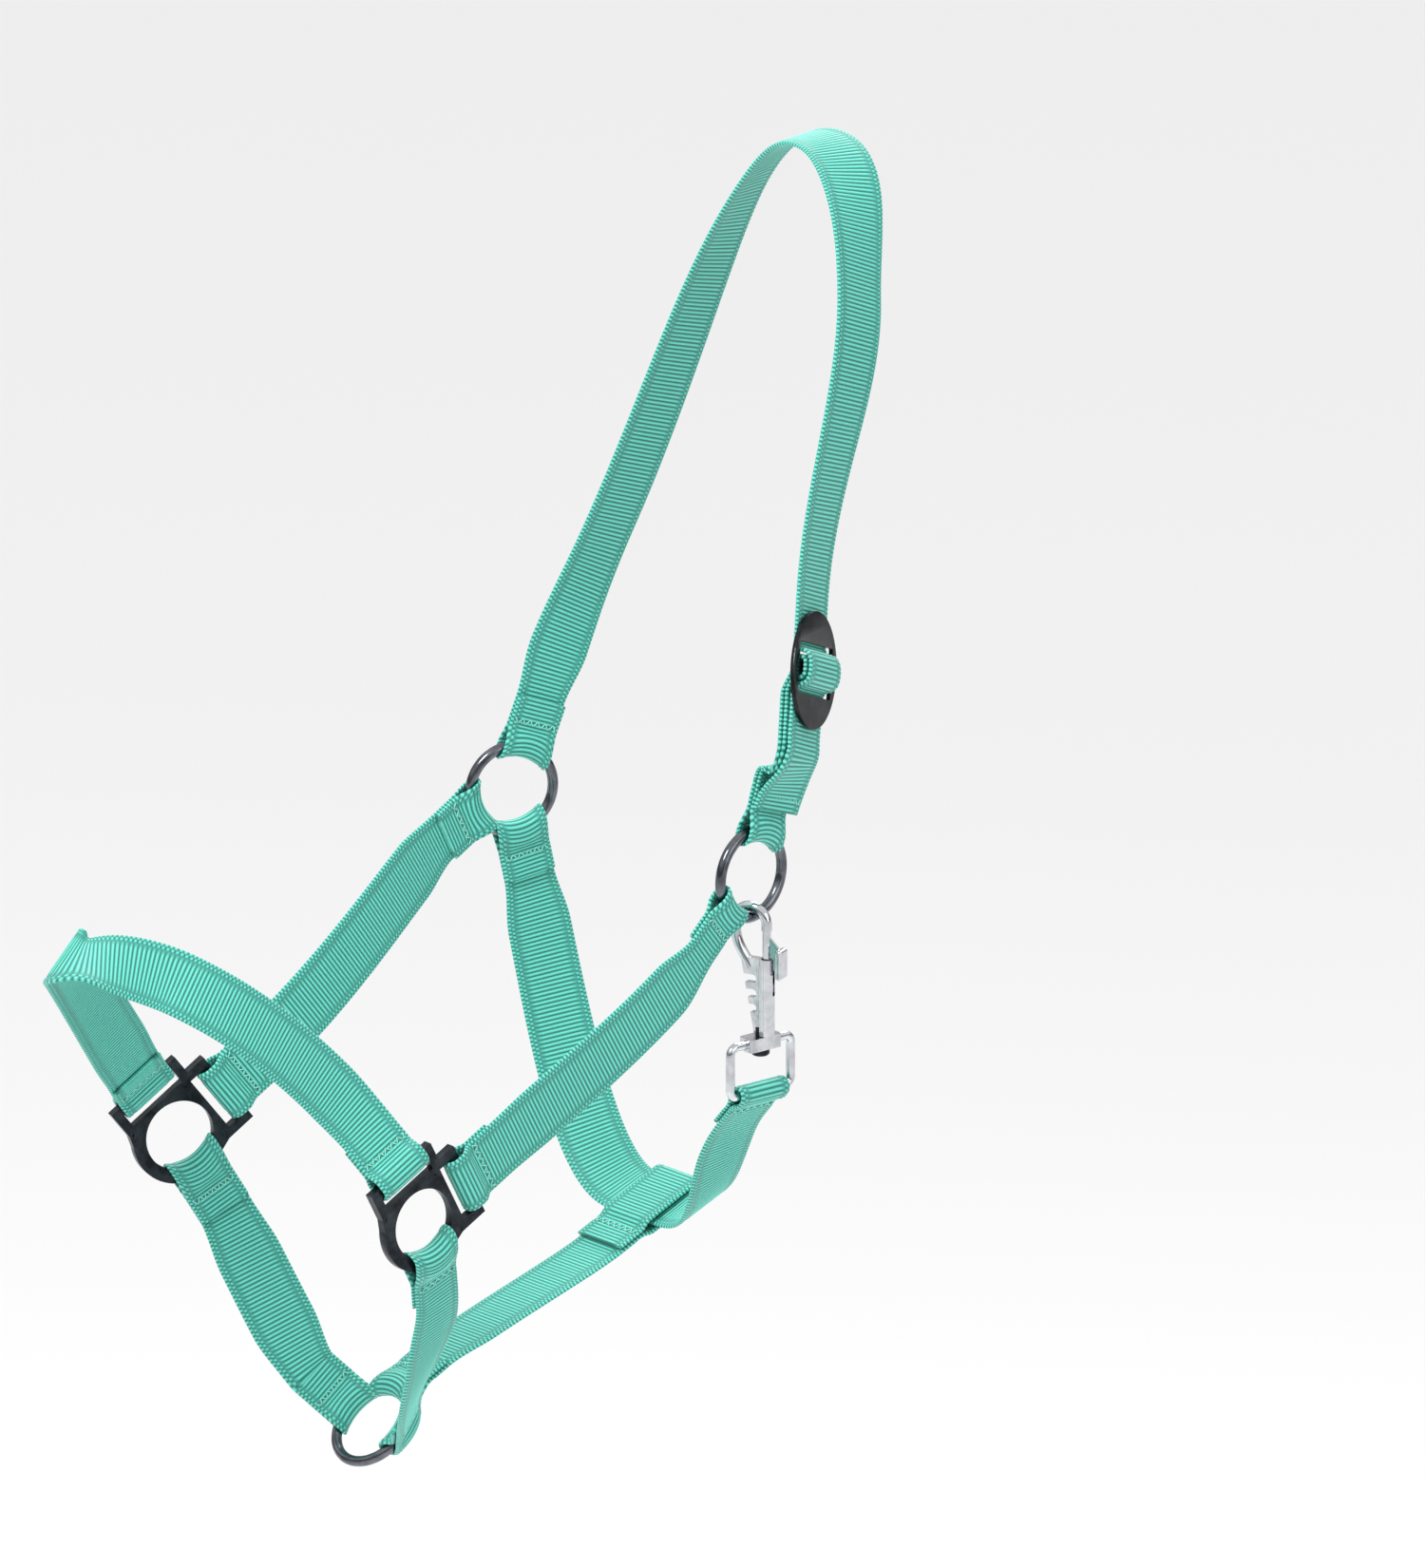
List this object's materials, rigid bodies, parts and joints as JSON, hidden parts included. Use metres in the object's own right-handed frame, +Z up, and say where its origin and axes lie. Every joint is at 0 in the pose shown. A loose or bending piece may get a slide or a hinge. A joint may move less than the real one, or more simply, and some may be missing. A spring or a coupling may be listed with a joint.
{
  "type": "head halter",
  "caption": "Webbing head halter for a horse: sewn straps on rings and cast squares, adjustable crown with an oval slide, and a swivel bolt snap that closes the throat strap",
  "frame": {"origin": "on the poll: the middle of the crown strap's underside at the top of its arch, behind the ears", "axes": "+Z up as worn, -X towards the nose, -Y towards the horse's left (near) side where the halter is buckled"},
  "size_m": [0.3852, 0.164, 0.4679],
  "materials": {
    "webbing": "ribbed flat nylon webbing, turquoise green, slight sheen",
    "ring_steel": "dark nickel plated wire, polished",
    "dark_casting": "black nickel cast metal, satin, bright worn edges",
    "dark_plate": "black nickel plate with a bright rolled rim",
    "snap_chrome": "polished nickel plate",
    "spring_steel": "plain spring wire"
  },
  "bodies": {
    "webbing_frame": {"noseband": "webbing", "cheek_strap_near": "webbing", "cheek_strap_far": "webbing", "chin_strap_near": "webbing", "chin_strap_far": "webbing", "connecting_strap": "webbing", "throat_strap": "webbing", "crown_strap": "webbing", "crown_chape": "webbing", "halter_square_near": "dark_casting", "halter_square_far": "dark_casting", "crown_slide": "dark_plate"},
    "near_ring": {"cheek_ring_near": "ring_steel"},
    "far_ring": {"cheek_ring_far": "ring_steel"},
    "chin_ring": {"lead_ring": "ring_steel"},
    "eye": {"snap_eye": "snap_chrome"},
    "hook": {"snap_body": "snap_chrome", "snap_swivel_rivet": "dark_casting", "snap_spring": "spring_steel"},
    "bolt": {"snap_bolt": "snap_chrome", "snap_thumb_lever": "snap_chrome"}
  },
  "joints": [
    {"name": "near_ring_turn", "type": "hinge", "parent": "webbing_frame", "child": "near_ring", "pos_m": [-0.092, -0.069, -0.248], "axis": [0.1219, -0.9925, 0], "continuous": true},
    {"name": "far_ring_turn", "type": "hinge", "parent": "webbing_frame", "child": "far_ring", "pos_m": [-0.092, 0.069, -0.248], "axis": [-0.309, -0.9511, 0], "continuous": true},
    {"name": "lead_ring_turn", "type": "hinge", "parent": "webbing_frame", "child": "chin_ring", "pos_m": [-0.216, 0, -0.452], "axis": [-0.7193, 0, 0.6947], "continuous": true},
    {"name": "snap_eye_swing", "type": "hinge", "parent": "webbing_frame", "child": "eye", "pos_m": [-0.09048, -0.07259, -0.3312], "axis": [1, 0, 0], "range_deg": [-0.7, 0.7]},
    {"name": "snap_swivel", "type": "hinge", "parent": "eye", "child": "hook", "pos_m": [-0.09048, -0.07259, -0.3092], "axis": [0, 0, 1], "range_deg": [-28, 0]},
    {"name": "snap_bolt_slide", "type": "slide", "parent": "hook", "child": "bolt", "axis": [0, 0, -1], "range_m": [0, 0.008], "stiffness_N_per_m": 400, "springref_m": -0.004, "deforming": ["snap_spring"]}
  ]
}
